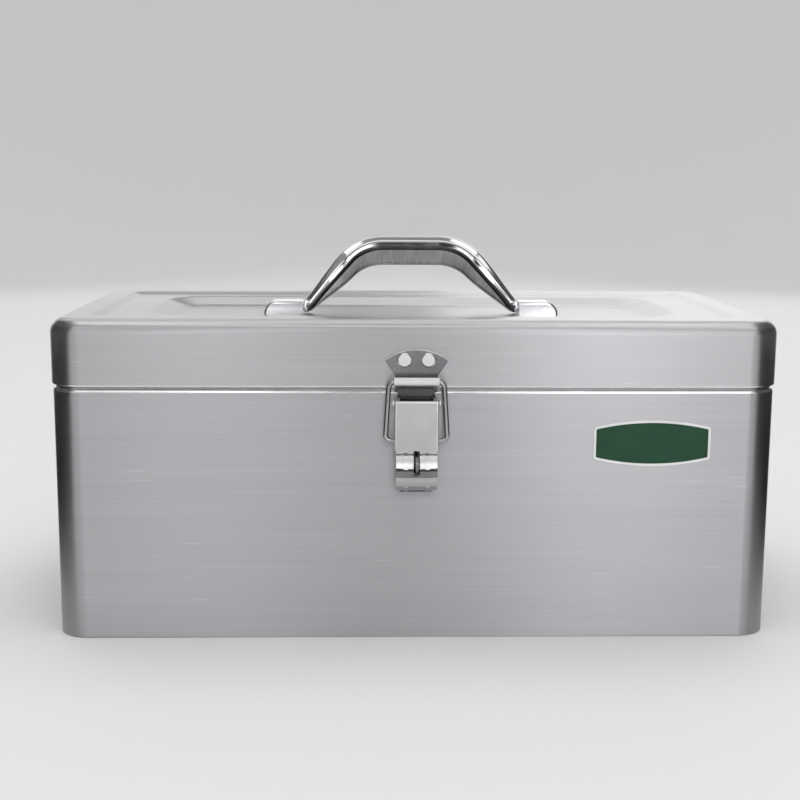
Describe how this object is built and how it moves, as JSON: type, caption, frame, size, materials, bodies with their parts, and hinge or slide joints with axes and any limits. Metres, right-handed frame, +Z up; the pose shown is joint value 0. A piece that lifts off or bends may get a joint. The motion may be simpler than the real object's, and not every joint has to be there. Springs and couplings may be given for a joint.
{
  "type": "metal tool box",
  "caption": "Rectangular stainless hand tool box with a hinged pressed lid, a fold-down carrying handle and a front toggle latch with a padlock eye.",
  "frame": {"origin": "centre of the base, on the surface that the box stands on", "axes": "+X along the length, -Y is the latch side, +Z up"},
  "size_m": [0.36, 0.2061, 0.1965],
  "materials": {
    "body_steel": "fine horizontal brushing",
    "lid_steel": "fine brushing, brighter than the box",
    "latch_steel": "nickel plated pressed steel",
    "handle_chrome": "polished chrome, satin underneath",
    "zinc_steel": "plain zinc plated steel",
    "rivet_steel": "polished rivets and pins",
    "plate_enamel": "green enamel with a white border, bare"
  },
  "bodies": {
    "box": {"box_wall": "body_steel", "box_bottom": "body_steel", "name_plate": "plate_enamel", "latch_base": "latch_steel", "latch_base_rivets": "rivet_steel", "lever_pin": "rivet_steel", "hinge_left_box_leaf": "zinc_steel", "hinge_right_box_leaf": "zinc_steel", "hinge_left_pin": "zinc_steel", "hinge_right_pin": "zinc_steel"},
    "lid": {"lid_shell": "lid_steel", "handle_seat_left": "handle_chrome", "handle_seat_right": "handle_chrome", "handle_backing_left": "zinc_steel", "handle_backing_right": "zinc_steel", "handle_seat_screws": "zinc_steel", "hinge_left_lid_leaf": "zinc_steel", "hinge_right_lid_leaf": "zinc_steel", "keeper_plate": "latch_steel", "keeper_rivets": "rivet_steel"},
    "carrying_handle": {"handle": "handle_chrome"},
    "latch_lever": {"latch_lever": "latch_steel"},
    "latch_bail": {"latch_bail": "latch_steel"}
  },
  "joints": [
    {"name": "lid_hinge", "type": "hinge", "parent": "box", "child": "lid", "pos_m": [0, 0.0906, 0.1268], "axis": [-1, 0, 0], "range_deg": [0, 102]},
    {"name": "handle_pivot", "type": "hinge", "parent": "lid", "child": "carrying_handle", "pos_m": [0, 0, 0.1584], "axis": [1, 0, 0], "range_deg": [-39, 105]},
    {"name": "lever_pivot", "type": "hinge", "parent": "box", "child": "latch_lever", "pos_m": [0, -0.0921, 0.1203], "axis": [-1, 0, 0], "range_deg": [0, 75]},
    {"name": "bail_pivot", "type": "hinge", "parent": "latch_lever", "child": "latch_bail", "pos_m": [0, -0.0927, 0.1019], "axis": [-1, 0, 0], "range_deg": [-34.6, 0]}
  ],
  "couplings": [
    {"joint": "bail_pivot", "follows": "lever_pivot", "ratio": -0.46}
  ]
}
